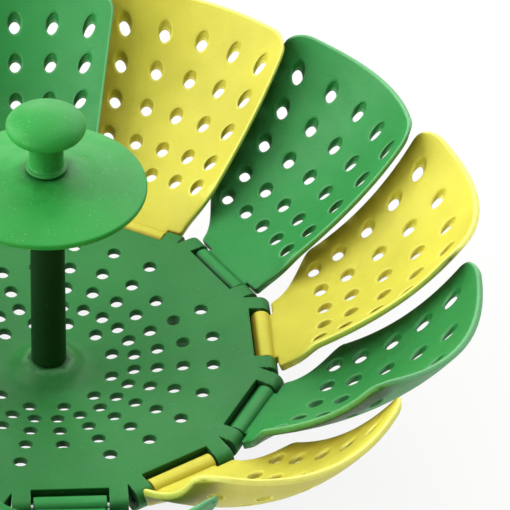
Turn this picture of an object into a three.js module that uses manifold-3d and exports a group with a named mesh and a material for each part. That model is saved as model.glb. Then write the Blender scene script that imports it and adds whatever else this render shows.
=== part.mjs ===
import * as THREE from 'three';
import { mergeVertices } from 'three/addons/utils/BufferGeometryUtils.js';
import Module from 'manifold-3d';

// Folding steamer basket, in millimetres, +Z up, origin on the floor under the centre of the plate.
// A dished, perforated plate on three legs carries twelve spoon-shaped petals on steel pins.
// Each petal hinges on one side of the twelve-sided plate. The hinge lines are skewed, so that
// every petal's clockwise edge lies inside its neighbour's counter-clockwise edge.

const wasm = await Module();
wasm.setup();

// Running and seating gaps
const seatGap = 0.3;
const overrun = 1;

// Plate: a dished sheet with rings of holes round a mound that carries the post.
// Its twelve flat sides lie a margin outside the circle of the legs.
const petalCount = 12;
const rimHeight = 26;
const plateMargin = 11.8;
const plateThickness = 2.5;
const dishDepth = 9.3;
const moundHeight = 4.8;
const moundLedge = 0.9;
const moundSpread = 6.8;
const holeRadius = 2.05;
const holeSides = 6;
const ringShares = [[0.318], [0.4207, 0.5356], [0.6618, 0.8091]];
const holeFieldShares = { inner: 0.2346, outer: 0.8981 };

// Hinges: ears on the plate, barrels on the petals and steel pins through both.
// A trough under each barrel joins the plate's edge with the cheeks of the two ears.
const hingeSkewDegrees = 4.6;
const barrelRadius = 3.1;
const barrelGap = 0.6;
const barrelEndGap = 0.6;
const barrelSides = 8;
const troughGap = 0.4;
const troughWall = 1.5;
const troughSteps = 3;
const cheekStep = 0.3;
const earStep = 0.2;
const earCrown = 0.26;
const earSink = 0.04;
const earSteps = 2;
const pinRadius = 1.25;
const pinSides = 6;
const pinInset = 0.7;
const slotShares = { clockwise: 0.1795, counter: 0.4516, ear: 0.1553 };

// Petal leaf: its middle surface bows up along its length and is hollow across its width
const leafLength = 82;
const leafRiseDegrees = 19.8;
const leafBowRadius = 118.6;
const leafHollowRadius = 45;
const leafDrop = 0.8;
const rootThickness = 2.8;
const tipThickness = 2;
const shoulderGap = 1;
const tongueInset = 0.3;
const tongueStartShare = 0.387;
const rootTwistShare = -0.1;
const tipTwistShare = -0.055;
const lateralShare = 0.245;
const clockwiseShares = { root: 0.5299, shoulder: 0.7293, tip: 0.9173 };
const counterShares = { root: 0.3419, shoulder: 0.7065, tip: 0.9487 };
const hollowShares = { start: 0.0122, end: 0.2622 };
const twistShares = { start: 0.305, end: 0.915 };
const stationShares = { flare: 0.268, middle: 0.598, tip: 0.878 };
const tipCrown = 2.6;
const tipCornerRadius = 7;
const tipCornerSteps = 3;
const rowShares = [[0.26, 0.376], [0.524, 0.68], [0.841]];
const columnShares = [-1, -0.51, 0, 0.51, 1];
const rowArch = 2;
const holeEdgeMargin = 7.4;
const leafHoleSides = 5;
const solverSteps = 4;

// Legs in sockets under the plate
const legCount = 3;
const legCircleRadius = 50;
const legTopRadius = 5.4;
const legFootRadius = 4.8;
const legFootRound = 1.2;
const legSpigotRadius = 3.6;
const socketWall = 2.2;
const socketDepth = 5;
const legSides = 10;

// Centre post and the screw that holds it from below
const postBaseRadius = 5.3;
const postTopRadius = 4.9;
const postSpigotRadius = 3;
const postSides = 12;
const screwShankRadius = 1.5;
const screwHeadRadius = 4.6;
const screwHeadHeight = 2.2;
const screwGrip = 12;
const screwDomeShare = 0.7;

// Shield disc and lifting knob
const discRadius = 28.9;
const discThickness = 2;
const discDome = 3.8;
const discStationShares = [0.4, 0.75];
const discSides = 24;
const stemRadius = 2.4;
const stemReach = 8;
const neckRadius = 4.9;
const neckLength = 11.43;
const neckBlend = 1.1;
const collarStep = 1;
const collarHeight = 1.1;
const knobCentreHeight = 108.2;
const knobRadius = 11.4;
const knobHalfHeight = 4.9;
const knobUndersideShare = -0.55;
const knobSides = 16;
const knobCapSteps = 6;

// Colours
const greenPlastic = { color: 0x4f9c5e, roughness: 0.5, metalness: 0 };
const brightGreenPlastic = { color: 0x4fb560, roughness: 0.45, metalness: 0 };
const petalGreenPlastic = { color: 0x459a5b, roughness: 0.5, metalness: 0 };
const yellowPlastic = { color: 0xe0d95b, roughness: 0.5, metalness: 0 };
const steel = { color: 0xc4c6c8, roughness: 0.25, metalness: 1 };

const pitch = 2 * Math.PI / petalCount;
const skew = THREE.MathUtils.degToRad(hingeSkewDegrees);

// Sizes that follow from the ones above
const plateFlatRadius = legCircleRadius + plateMargin;
const earRadius = barrelRadius + earStep;
const earTop = earRadius + earCrown;
const hingeHeight = rimHeight - earSink - earTop;
const flatOffset = -barrelGap - barrelRadius;
const hingeRadius = plateFlatRadius - flatOffset;
const troughRadius = barrelRadius + troughGap;
const wallTop = earTop - plateThickness / 2;
const hingeSide = 2 * hingeRadius * Math.tan(pitch / 2);
const slotStart = -slotShares.clockwise * hingeSide;
const slotEnd = slotShares.counter * hingeSide;
const earWidth = slotShares.ear * hingeSide;
const mountHoleRadius = postSpigotRadius + seatGap;
const moundTopRadius = postBaseRadius + moundLedge;
const moundFootRadius = moundTopRadius + moundSpread;
const leafShoulderStart = earRadius + shoulderGap;
const leafLateralOffset = lateralShare * hingeSide;
const flareEnd = stationShares.flare * leafLength;
const middleStation = stationShares.middle * leafLength;
const tipStation = stationShares.tip * leafLength;
const postBase = dishTop(0) + seatGap;
const spigotEnd = dishBottom(0);
const knobSeat = knobCentreHeight - knobHalfHeight - neckLength;
const discRimHeight = knobSeat - seatGap - discDome * (1 - (stemRadius / discRadius) ** 2);
const postTop = discRimHeight + discDome - discThickness - seatGap;

function smoothstep(from, to, value) {
  const t = THREE.MathUtils.clamp((value - from) / (to - from), 0, 1);
  return t * t * (3 - 2 * t);
}

function polar(radius, angle) {
  return new THREE.Vector2(radius * Math.cos(angle), radius * Math.sin(angle));
}

function ring(radius, count, startAngle = 0, centre = new THREE.Vector2()) {
  return Array.from({ length: count }, (_, i) => (
    polar(radius, startAngle + i * 2 * Math.PI / count).add(centre)
  ));
}

// A round hole drawn with few sides keeps the area of the true circle.

function holeRing(radius, sides, startAngle, centre) {
  const step = 2 * Math.PI / sides;
  return ring(radius * Math.sqrt(step / Math.sin(step)), sides, startAngle, centre);
}

// Solids for cutting and joining

function toSolid(geometry) {
  const bare = geometry.clone();
  bare.deleteAttribute('normal');
  bare.deleteAttribute('uv');
  const merged = mergeVertices(bare);
  const vertProperties = new Float32Array(merged.attributes.position.array);
  const triVerts = new Uint32Array(merged.index.array);
  return new wasm.Manifold(new wasm.Mesh({ numProp: 3, vertProperties, triVerts }));
}

function toGeometry(solid) {
  const mesh = solid.getMesh();
  const geometry = new THREE.BufferGeometry();
  geometry.setAttribute('position', new THREE.BufferAttribute(mesh.vertProperties, 3));
  geometry.setIndex(new THREE.BufferAttribute(mesh.triVerts, 1));
  geometry.computeVertexNormals();
  return geometry;
}

function turned(profile, sides) {
  const points = profile.map(([radius, height]) => new THREE.Vector2(radius, height));
  return new THREE.LatheGeometry(points, sides).rotateX(Math.PI / 2);
}

function rod(radiusBottom, radiusTop, bottom, top, sides) {
  const geometry = new THREE.CylinderGeometry(radiusTop, radiusBottom, top - bottom, sides);
  return geometry.rotateX(Math.PI / 2).translate(0, 0, (top + bottom) / 2);
}

// A sheet is a flat pattern of cells, each with or without a hole, carried onto two surfaces.
// Edges that only one triangle uses get a wall, so every hole and the outline are closed.

class Sheet {
  constructor() {
    this.points = [];
    this.lookup = new Map();
    this.triangles = [];
  }

  index(point) {
    const key = `${point.x.toFixed(4)},${point.y.toFixed(4)}`;
    if (!this.lookup.has(key)) {
      this.lookup.set(key, this.points.length);
      this.points.push(point);
    }
    return this.lookup.get(key);
  }

  addCell(contour, holes = []) {
    const outline = THREE.ShapeUtils.isClockWise(contour) ? contour.slice().reverse() : contour;
    const cuts = holes.map((hole) => (THREE.ShapeUtils.isClockWise(hole) ? hole : hole.slice().reverse()));
    const all = [outline, ...cuts].flat().map((point) => this.index(point));
    for (const face of THREE.ShapeUtils.triangulateShape(outline, cuts)) {
      this.triangles.push(face.map((corner) => all[corner]));
    }
  }

  edgeWalls() {
    const open = new Map();
    for (const face of this.triangles) {
      for (let i = 0; i < face.length; i += 1) {
        const from = face[i];
        const to = face[(i + 1) % face.length];
        if (!open.delete(`${to},${from}`)) open.set(`${from},${to}`, [from, to]);
      }
    }
    return [...open.values()];
  }

  thicken(upper, lower) {
    const count = this.points.length;
    const places = [...this.points.map(upper), ...this.points.map(lower)];
    const faces = [];
    for (const [a, b, c] of this.triangles) {
      faces.push([a, b, c], [c + count, b + count, a + count]);
    }
    for (const [from, to] of this.edgeWalls()) {
      faces.push([from, from + count, to + count], [from, to + count, to]);
    }
    const geometry = new THREE.BufferGeometry().setFromPoints(places);
    geometry.setIndex(faces.flat());
    return geometry;
  }
}

// Plate

function dishHeight(radius) {
  return rimHeight - dishDepth * (1 + Math.cos(Math.PI * Math.min(radius / plateFlatRadius, 1))) / 2;
}

function dishTop(radius) {
  return dishHeight(radius) + moundHeight * (1 - smoothstep(moundTopRadius, moundFootRadius, radius));
}

function dishBottom(radius) {
  return dishHeight(radius) - plateThickness;
}

function bandCells(sheet, inner, outer, count, holeRadii, isBlind = () => false) {
  const step = 2 * Math.PI / count;
  const turn = count === petalCount ? pitch / 4 : 0;
  for (let i = 0; i < count; i += 1) {
    const middle = turn + i * step;
    const contour = [
      polar(inner, middle - step / 2),
      polar(inner, middle + step / 2),
      polar(outer, middle + step / 2),
      polar(outer, middle - step / 2),
    ];
    if (count === petalCount && holeRadii.length > 0) contour.splice(3, 0, polar(outer, middle));
    const holes = holeRadii
      .filter((radius) => !isBlind(radius, middle))
      .map((radius) => holeRing(holeRadius, holeSides, middle, polar(radius, middle)));
    sheet.addCell(contour, holes);
  }
}

function overLeg(radius, angle) {
  const hole = polar(radius, angle);
  const legs = Array.from({ length: legCount }, (_, i) => polar(legCircleRadius, legAngle(i)));
  return legs.some((leg) => leg.distanceTo(hole) < legTopRadius + holeRadius);
}

function plateSheet() {
  const sheet = new Sheet();
  const holeFieldInner = holeFieldShares.inner * plateFlatRadius;
  const holeFieldOuter = holeFieldShares.outer * plateFlatRadius;
  const moundMiddle = (moundTopRadius + moundFootRadius) / 2;
  const centreLines = [mountHoleRadius, moundTopRadius, moundMiddle, holeFieldInner];
  for (let i = 1; i < centreLines.length; i += 1) {
    bandCells(sheet, centreLines[i - 1], centreLines[i], petalCount, []);
  }
  const radii = ringShares.map((band) => band.map((share) => share * plateFlatRadius));
  const gaps = radii.slice(1).map((band, i) => (band[0] + radii[i].at(-1)) / 2);
  const lines = [holeFieldInner, ...gaps, holeFieldOuter];
  radii.forEach((band, i) => {
    bandCells(sheet, lines[i], lines[i + 1], i === 0 ? petalCount : 2 * petalCount, band, overLeg);
  });
  const corners = ring(plateFlatRadius / Math.cos(pitch / 2), petalCount, pitch / 2 - skew);
  sheet.addCell(corners, [ring(holeFieldOuter, 2 * petalCount, pitch / 4)]);
  return sheet;
}

// Ears and troughs are drawn across the hinge line, outwards and upwards from the hinge axis.

function quarter(radius, height, startTurns, steps) {
  return Array.from({ length: steps + 1 }, (_, i) => {
    const angle = -(startTurns + i / steps) * Math.PI / 2;
    return new THREE.Vector2(radius * Math.cos(angle), height * Math.sin(angle));
  });
}

function alongHinge(shape, start, end) {
  const geometry = new THREE.ExtrudeGeometry(shape, { depth: end - start, bevelEnabled: false });
  return geometry.rotateX(Math.PI / 2).translate(0, end, 0);
}

function earGeometry(start) {
  const cheekRadius = troughRadius + troughWall + cheekStep;
  const shape = new THREE.Shape([
    new THREE.Vector2(-cheekRadius, wallTop),
    new THREE.Vector2(flatOffset - seatGap, earTop),
    ...quarter(earRadius, earTop, -1, earSteps),
    ...quarter(earRadius, earRadius, 0, earSteps).slice(1),
    new THREE.Vector2(cheekStep, -cheekRadius),
    ...quarter(cheekRadius, cheekRadius, 1, troughSteps),
  ]);
  shape.holes.push(new THREE.Path(ring(pinRadius + seatGap, pinSides, Math.PI / 2)));
  return alongHinge(shape, start, start + earWidth);
}

function troughGeometry() {
  const inner = troughRadius / Math.cos(Math.PI / 4 / troughSteps);
  const outer = troughRadius + troughWall;
  const shape = new THREE.Shape([
    new THREE.Vector2(-inner, wallTop),
    ...quarter(inner, inner, 1, troughSteps).reverse(),
    ...quarter(outer, outer, 1, troughSteps),
    new THREE.Vector2(-outer, wallTop),
  ]);
  return alongHinge(shape, slotStart - overrun, slotEnd + overrun);
}

function atHinge(geometry, index) {
  const angle = index * pitch - skew;
  const place = polar(hingeRadius, angle);
  return geometry.clone().rotateZ(angle).translate(place.x, place.y, hingeHeight);
}

function crossRod(radius, from, to, sides) {
  const geometry = new THREE.CylinderGeometry(radius, radius, to - from, sides);
  return geometry.translate(0, (from + to) / 2, 0);
}

function legAngle(index) {
  return pitch + index * 2 * Math.PI / legCount;
}

function makePlate() {
  const lift = (height) => (point) => new THREE.Vector3(point.x, point.y, height(point.length()));
  let solid = toSolid(plateSheet().thicken(lift(dishTop), lift(dishBottom)));
  const socketTop = dishBottom(legCircleRadius);
  const socketBase = socketTop - socketDepth;
  for (let i = 0; i < legCount; i += 1) {
    const place = polar(legCircleRadius, legAngle(i));
    const outer = rod(legTopRadius, legTopRadius + socketWall, socketBase, socketTop + overrun, legSides);
    solid = solid.add(toSolid(outer.translate(place.x, place.y, 0)));
  }
  for (let i = 0; i < petalCount; i += 1) {
    solid = solid.add(toSolid(atHinge(earGeometry(slotStart - earWidth), i)));
    solid = solid.add(toSolid(atHinge(earGeometry(slotEnd), i)));
    solid = solid.add(toSolid(atHinge(troughGeometry(), i)));
  }
  const socketRadius = legSpigotRadius + seatGap;
  for (let i = 0; i < legCount; i += 1) {
    const place = polar(legCircleRadius, legAngle(i));
    const socket = rod(socketRadius, socketRadius, socketBase - overrun, socketTop, legSides);
    solid = solid.subtract(toSolid(socket.translate(place.x, place.y, 0)));
  }
  return toGeometry(solid);
}

// Petals

function leafCentre(station) {
  const rise = THREE.MathUtils.degToRad(leafRiseDegrees);
  const angle = rise + station / leafBowRadius;
  const out = leafBowRadius * (Math.sin(angle) - Math.sin(rise));
  const up = leafBowRadius * (Math.cos(rise) - Math.cos(angle)) - leafDrop;
  return { out, up, angle };
}

function leafSurface(station, across, side) {
  const { out, up, angle } = leafCentre(station);
  const along = station / leafLength;
  const fade = smoothstep(hollowShares.start, hollowShares.end, along);
  const untwist = smoothstep(twistShares.start, twistShares.end, along);
  const twist = rootTwistShare + (tipTwistShare - rootTwistShare) * untwist;
  const hollow = fade * (across * across / (2 * leafHollowRadius) + twist * across);
  const thickness = rootThickness + (tipThickness - rootThickness) * along;
  const lift = hollow + side * thickness / 2;
  return new THREE.Vector3(
    out - lift * Math.sin(angle),
    leafLateralOffset + across,
    up + lift * Math.cos(angle),
  );
}

function halfWidth(side, station) {
  const flare = smoothstep(leafShoulderStart, flareEnd, station);
  const spread = Math.max(station - flareEnd, 0) / (tipStation - flareEnd);
  const share = side.root + (side.shoulder - side.root) * flare + (side.tip - side.shoulder) * spread;
  return share * hingeSide;
}

function acrossAt(station, share) {
  return share < 0 ? share * halfWidth(clockwiseShares, station) : share * halfWidth(counterShares, station);
}

function holeAcross(station, share) {
  const side = share < 0 ? clockwiseShares : counterShares;
  return share * (halfWidth(side, station) - holeEdgeMargin);
}

function tipStationAt(across) {
  const reach = hingeSide * (clockwiseShares.tip + counterShares.tip) / 2;
  return leafLength - tipCrown * (across / reach) ** 2;
}

function borderAcross(station, column) {
  if (column < 0) return acrossAt(station, -1);
  if (column >= columnShares.length - 1) return acrossAt(station, 1);
  return holeAcross(station, (columnShares[column] + columnShares[column + 1]) / 2);
}

function sidePoints(near, far, column) {
  const onEdge = column < 0 || column === columnShares.length - 1;
  return [flareEnd, middleStation]
    .filter((station) => onEdge && station > near && station < far)
    .map((station) => new THREE.Vector2(station, borderAcross(station, column)));
}

function farPoints(far, column) {
  if (far < tipStation) return [new THREE.Vector2(far, borderAcross(far, column))];
  const across = borderAcross(tipStation, column);
  if (column < 0) return tipCorner(across, -1);
  if (column === columnShares.length - 1) return tipCorner(across, 1);
  return [new THREE.Vector2(tipStationAt(across), across)];
}

// The holes are moulded straight up, so they are round when seen from above and their walls are upright.

function stationAt(out, across, side, guess) {
  let station = guess;
  for (let i = 0; i < solverSteps; i += 1) {
    station += (out - leafSurface(station, across, side).x) / Math.cos(leafCentre(station).angle);
  }
  return station;
}

function leafHole(station, across) {
  const centre = new THREE.Vector2(leafSurface(station, across, 1).x, across);
  return holeRing(holeRadius, leafHoleSides, 0, centre).map((point) => (
    new THREE.Vector2(stationAt(point.x, point.y, 1, station), point.y)
  ));
}

function underStation(station, across) {
  const side = across < 0 ? clockwiseShares : counterShares;
  const fromSide = halfWidth(side, station) - Math.abs(across);
  const fromBorder = Math.min(fromSide, tipStationAt(across) - station, station - leafShoulderStart);
  const below = stationAt(leafSurface(station, across, 1).x, across, -1, station);
  return station + (below - station) * smoothstep(0, holeEdgeMargin - holeRadius, fromBorder);
}

function leafSheet() {
  const sheet = new Sheet();
  const rowBands = rowShares.map((band) => band.map((share) => share * leafLength));
  const firstLine = rowBands[0][0] - (rowBands[0][1] - rowBands[0][0]) / 2;
  const gaps = rowBands.slice(1).map((band, i) => (band[0] + rowBands[i].at(-1)) / 2);
  const lines = [firstLine, ...gaps, leafLength];
  rowBands.forEach((band, i) => {
    const near = lines[i];
    const far = lines[i + 1];
    columnShares.forEach((share, column) => {
      const contour = [
        new THREE.Vector2(near, borderAcross(near, column - 1)),
        new THREE.Vector2(near, borderAcross(near, column)),
        ...sidePoints(near, far, column),
        ...farPoints(far, column),
        ...farPoints(far, column - 1).reverse(),
        ...sidePoints(near, far, column - 1).reverse(),
      ];
      const holes = band.map((station) => {
        const across = holeAcross(station, share);
        const arch = rowArch * (across / (clockwiseShares.shoulder * hingeSide)) ** 2;
        return leafHole(station - arch, across);
      });
      sheet.addCell(contour, holes);
    });
  });
  addLeafRoot(sheet, firstLine);
  return sheet;
}

function addLeafRoot(sheet, firstLine) {
  const neck = (leafShoulderStart + firstLine) / 2;
  const borders = columnShares.concat(1).map((_, i) => i - 1);
  const neckLine = borders.map((column) => new THREE.Vector2(neck, borderAcross(neck, column)));
  const firstRow = borders.map((column) => new THREE.Vector2(firstLine, borderAcross(firstLine, column)));
  for (let i = 1; i < firstRow.length; i += 1) {
    sheet.addCell([neckLine[i - 1], neckLine[i], firstRow[i], firstRow[i - 1]]);
  }
  const tongueLeft = slotStart + barrelEndGap + tongueInset - leafLateralOffset;
  const tongueRight = slotEnd - barrelEndGap - tongueInset - leafLateralOffset;
  const rootLine = [acrossAt(leafShoulderStart, -1), tongueLeft, tongueRight, acrossAt(leafShoulderStart, 1)]
    .map((across) => new THREE.Vector2(leafShoulderStart, across));
  sheet.addCell([...rootLine, ...neckLine.slice().reverse()]);
  const tongueStart = tongueStartShare * barrelRadius;
  const tongue = [tongueLeft, tongueRight].map((across) => new THREE.Vector2(tongueStart, across));
  sheet.addCell([...tongue, rootLine[2], rootLine[1]]);
}

function tipCorner(edge, sign) {
  const inner = edge - sign * tipCornerRadius;
  const top = tipStationAt(inner);
  const points = [];
  for (let i = 0; i <= tipCornerSteps; i += 1) {
    const angle = i * Math.PI / 2 / tipCornerSteps;
    points.push(new THREE.Vector2(
      top - tipCornerRadius + tipCornerRadius * Math.sin(angle),
      inner + sign * tipCornerRadius * Math.cos(angle),
    ));
  }
  return points;
}

function petalGeometry() {
  const upper = (point) => leafSurface(point.x, point.y, 1);
  const lower = (point) => leafSurface(underStation(point.x, point.y), point.y, -1);
  const leaf = toSolid(leafSheet().thicken(upper, lower));
  const barrelStart = slotStart + barrelEndGap;
  const barrelEnd = slotEnd - barrelEndGap;
  const barrel = toSolid(crossRod(barrelRadius, barrelStart, barrelEnd, barrelSides));
  const bore = toSolid(crossRod(pinRadius + seatGap, barrelStart - overrun, barrelEnd + overrun, pinSides));
  return toGeometry(leaf.add(barrel).subtract(bore));
}

function pinGeometry() {
  const from = slotStart - earWidth + pinInset;
  const to = slotEnd + earWidth - pinInset;
  return crossRod(pinRadius, from, to, pinSides);
}

// Legs, post, disc and knob

function legGeometry() {
  const top = dishBottom(legCircleRadius) - socketDepth - seatGap;
  const spigotTop = dishBottom(legCircleRadius) - seatGap;
  return turned([
    [0, 0],
    [legFootRadius - legFootRound, 0],
    [legFootRadius, legFootRound],
    [legTopRadius, top],
    [legSpigotRadius, top],
    [legSpigotRadius, spigotTop],
    [0, spigotTop],
  ], legSides);
}

function postGeometry() {
  const screwBore = screwShankRadius + seatGap;
  const stemBore = stemRadius + seatGap;
  return turned([
    [screwBore, spigotEnd],
    [postSpigotRadius, spigotEnd],
    [postSpigotRadius, postBase],
    [postBaseRadius, postBase],
    [postTopRadius, postTop],
    [stemBore, postTop],
    [stemBore, postTop - stemReach - seatGap],
    [0, postTop - stemReach - seatGap],
    [0, spigotEnd + screwGrip + seatGap],
    [screwBore, spigotEnd + screwGrip + seatGap],
    [screwBore, spigotEnd],
  ], postSides);
}

function screwGeometry() {
  const headTop = spigotEnd - seatGap;
  return turned([
    [0, headTop - screwHeadHeight],
    [screwHeadRadius * screwDomeShare, headTop - screwHeadHeight],
    [screwHeadRadius, headTop],
    [screwShankRadius, headTop],
    [screwShankRadius, spigotEnd + screwGrip],
    [0, spigotEnd + screwGrip],
  ], postSides);
}

function discTop(radius) {
  const share = radius / discRadius;
  return discRimHeight + discDome * (1 - share * share);
}

function discGeometry() {
  const inner = stemRadius + seatGap;
  const edge = discRadius - discThickness / 2;
  const stations = [inner, ...discStationShares.map((share) => share * discRadius), edge];
  const underside = stations.map((radius) => [radius, discTop(radius) - discThickness]);
  const topside = stations.map((radius) => [radius, discTop(radius)]).reverse();
  const lip = [discRadius, discTop(discRadius) - discThickness / 2];
  return turned([...underside, lip, ...topside, underside[0]], discSides);
}

function knobGeometry() {
  const under = knobCentreHeight - knobHalfHeight;
  const collarRadius = neckRadius + collarStep;
  const stemEnd = postTop - stemReach;
  const cap = [];
  for (let i = 0; i < knobCapSteps; i += 1) {
    const angle = THREE.MathUtils.lerp(Math.asin(knobUndersideShare), Math.PI / 2, i / knobCapSteps);
    cap.push([knobRadius * Math.cos(angle), knobCentreHeight + knobHalfHeight * Math.sin(angle)]);
  }
  return turned([
    [0, stemEnd],
    [stemRadius, stemEnd],
    [stemRadius, knobSeat],
    [collarRadius, knobSeat],
    [collarRadius, knobSeat + collarHeight],
    [neckRadius, knobSeat + collarHeight + neckBlend],
    [neckRadius, under - neckBlend],
    [neckRadius + neckBlend, under],
    ...cap,
    [0, knobCentreHeight + knobHalfHeight],
  ], knobSides);
}

// Assembly

const basket = new THREE.Group();

function addMesh(parent, name, geometry, finish) {
  const mesh = new THREE.Mesh(geometry, new THREE.MeshStandardMaterial(finish));
  mesh.name = name;
  parent.add(mesh);
  return mesh;
}

addMesh(basket, 'base_plate', makePlate(), greenPlastic);

const petalShape = petalGeometry();
const pinShape = pinGeometry();
for (let i = 0; i < petalCount; i += 1) {
  const angle = i * pitch - skew;
  const place = polar(hingeRadius, angle);
  const hinge = new THREE.Group();
  hinge.position.set(place.x, place.y, hingeHeight);
  hinge.rotation.z = angle;
  const number = String(i + 1).padStart(2, '0');
  addMesh(hinge, `petal_${number}`, petalShape, i % 2 === 0 ? yellowPlastic : petalGreenPlastic);
  addMesh(hinge, `hinge_pin_${number}`, pinShape, steel);
  basket.add(hinge);
}

const legShape = legGeometry();
for (let i = 0; i < legCount; i += 1) {
  const leg = addMesh(basket, `foot_${i + 1}`, legShape, greenPlastic);
  const place = polar(legCircleRadius, legAngle(i));
  leg.position.set(place.x, place.y, 0);
}

addMesh(basket, 'centre_post', postGeometry(), greenPlastic);
addMesh(basket, 'post_screw', screwGeometry(), steel);
addMesh(basket, 'shield_disc', discGeometry(), brightGreenPlastic);
addMesh(basket, 'knob', knobGeometry(), brightGreenPlastic);

export default basket;
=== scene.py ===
import math

import bmesh
import bpy
import numpy as np
from mathutils import Matrix, Vector
from mathutils.bvhtree import BVHTree
from mathutils.geometry import delaunay_2d_cdt


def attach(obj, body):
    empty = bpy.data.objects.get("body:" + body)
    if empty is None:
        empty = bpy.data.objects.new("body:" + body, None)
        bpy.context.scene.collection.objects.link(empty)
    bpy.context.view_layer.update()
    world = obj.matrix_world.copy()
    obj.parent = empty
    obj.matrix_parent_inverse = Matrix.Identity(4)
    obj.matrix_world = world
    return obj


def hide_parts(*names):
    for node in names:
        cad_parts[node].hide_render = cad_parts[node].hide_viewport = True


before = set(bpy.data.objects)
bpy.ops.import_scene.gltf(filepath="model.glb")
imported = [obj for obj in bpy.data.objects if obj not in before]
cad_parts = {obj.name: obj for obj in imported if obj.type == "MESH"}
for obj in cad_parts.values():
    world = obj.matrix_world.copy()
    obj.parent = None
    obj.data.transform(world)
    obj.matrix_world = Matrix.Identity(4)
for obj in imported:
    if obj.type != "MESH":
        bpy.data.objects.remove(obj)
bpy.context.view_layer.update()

# Folding steamer basket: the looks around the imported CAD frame.
# Lengths are in millimetres here and become metres where a mesh is made.

MM = 0.001

# Sizes shared with the CAD source
SEAT_GAP = 0.3
PETALS = 12
PITCH = 2 * math.pi / PETALS
RIM_HEIGHT = 26.0
PLATE_APOTHEM = 61.8
PLATE_THICKNESS = 2.5
DISH_DEPTH = 9.3
HOLE_RADIUS = 2.05
INNER_RING = 19.65
OUTER_RINGS = (26.0, 33.1, 40.9, 50.0)
MOUNT_HOLE_RADIUS = 3.3
MOUND_HEIGHT = 4.8
MOUND_TOP_RADIUS = 6.2
MOUND_FOOT_RADIUS = 13.0
HINGE_APOTHEM = 65.5
SKEW = math.radians(4.6)
HINGE_HEIGHT = 22.4
SLOT_CLOCKWISE = -6.3
SLOT_COUNTER = 15.85
EAR_WIDTH = 5.45
EAR_RADIUS = 3.3
EAR_TOP = 3.58
TROUGH_RADIUS = 3.6
TROUGH_WALL = 1.4
CHEEK_RADIUS = 5.3
CHEEK_STEP = 0.3
BARREL_RADIUS = 3.1
BARREL_END_GAP = 0.6
PIN_RADIUS = 1.25
PIN_INSET = 0.7
LEAF_LENGTH = 82.0
LEAF_START = 1.2
LEAF_SHOULDER = 4.3
LEAF_RISE = math.radians(19.8)
LEAF_BOW_RADIUS = 118.6
LEAF_DROP = 0.8
LEAF_OFFSET = 8.6
LEAF_HOLLOW_RADIUS = 45.0
HOLLOW_FADE = (1.0, 21.5)
TWIST_SLOPES = (-0.1, -0.055)
TWIST_FADE = (25.0, 75.0)
LEAF_THICKNESS = (2.8, 2.0)
FLARE_END = 22.0
TIP_STATION = 72.0
CLOCKWISE_SIDE = (18.6, 25.6, 32.2)
COUNTER_SIDE = (12.0, 24.8, 33.3)
TONGUE_INSET = 0.3
TIP_CROWN = 2.6
TIP_CORNER_RADIUS = 7.0
HOLE_ROWS = (21.3, 30.8, 43.0, 55.8, 69.0)
HOLE_COLUMNS = (-1.0, -0.51, 0.0, 0.51, 1.0)
ROW_ARCH = 2.0
HOLE_EDGE_MARGIN = 7.4
LEGS = 3
LEG_CIRCLE = 50.0
LEG_TOP_RADIUS = 5.4
LEG_FOOT_RADIUS = 4.8
LEG_SPIGOT_RADIUS = 3.6
SOCKET_WALL = 2.2
SOCKET_DEPTH = 5.0
POST_BASE_RADIUS = 5.3
POST_TOP_RADIUS = 4.9
SPIGOT_RADIUS = 3.0
SCREW_HEAD_RADIUS = 4.6
SCREW_HEAD_HEIGHT = 2.2
SCREW_SHANK_RADIUS = 1.5
SCREW_GRIP = 12.0
DISC_RADIUS = 28.9
DISC_RIM_HEIGHT = 87.8
DISC_THICKNESS = 2.0
DISC_DOME = 3.8
DISC_EDGE_ROUND = 0.75
BOSS_HEIGHT = 1.5
BOSS_TOP_RADIUS = 6.3
BOSS_FOOT_RADIUS = 13.5
STEM_RADIUS = 2.4
STEM_REACH = 8.0
COLLAR_RADIUS = 5.9
COLLAR_HEIGHT = 1.1
NECK_RADIUS = 4.9
KNOB_RADIUS = 11.4
KNOB_HALF_HEIGHT = 4.9
KNOB_HEIGHT = 108.2

# Small sizes of the looks
OVERLAP = 1.0
PLATE_GRID = 2.6
LEAF_GRID = 2.4
OUTLINE_STEP = 1.3
CLEARANCE_SHARE = 0.62
PLATE_HOLE_ROUND = 0.32
LEAF_HOLE_ROUND = 0.75
LEAF_EDGE_ROUND = 0.95
UNDERSIDE_ROUND = 0.4
EAR_EDGE_ROUND = 0.35
EAR_INSET = 0.02
ROOT_CORNER_RADIUS = 1.2
ROOT_ROUND_SHARE = 0.4
BARREL_END_ROUND = 0.4
PIN_CHAMFER = 0.3
SOCKET_ROUND = 0.5
SOLE_ROUND = 1.2
SOLE_HOLLOW = 0.25
SOLE_SLOPE = 0.4
LEG_TOP_CHAMFER = 0.3
LEG_TOP_TAPER = 0.03
POST_CHAMFER = 0.35
POST_BAND = 0.9
POST_TAPER = 0.02
COLLAR_INSET = 0.3
COLLAR_ROUND = 0.5
COLLAR_ARC = (-45, 80)
NECK_FILLET = 0.7
KNOB_BLEND = 1.6
KNOB_BLEND_SHIFT = 0.2
KNOB_BLEND_ARC = (180, 105)
KNOB_UNDERSIDE = -0.8
SCREW_RIM = 0.4
SCREW_SLOT = (2.5, 0.45, 1.2)
SLOT_OVERCUT = 0.5
SLOT_TAPER = 0.55

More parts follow.
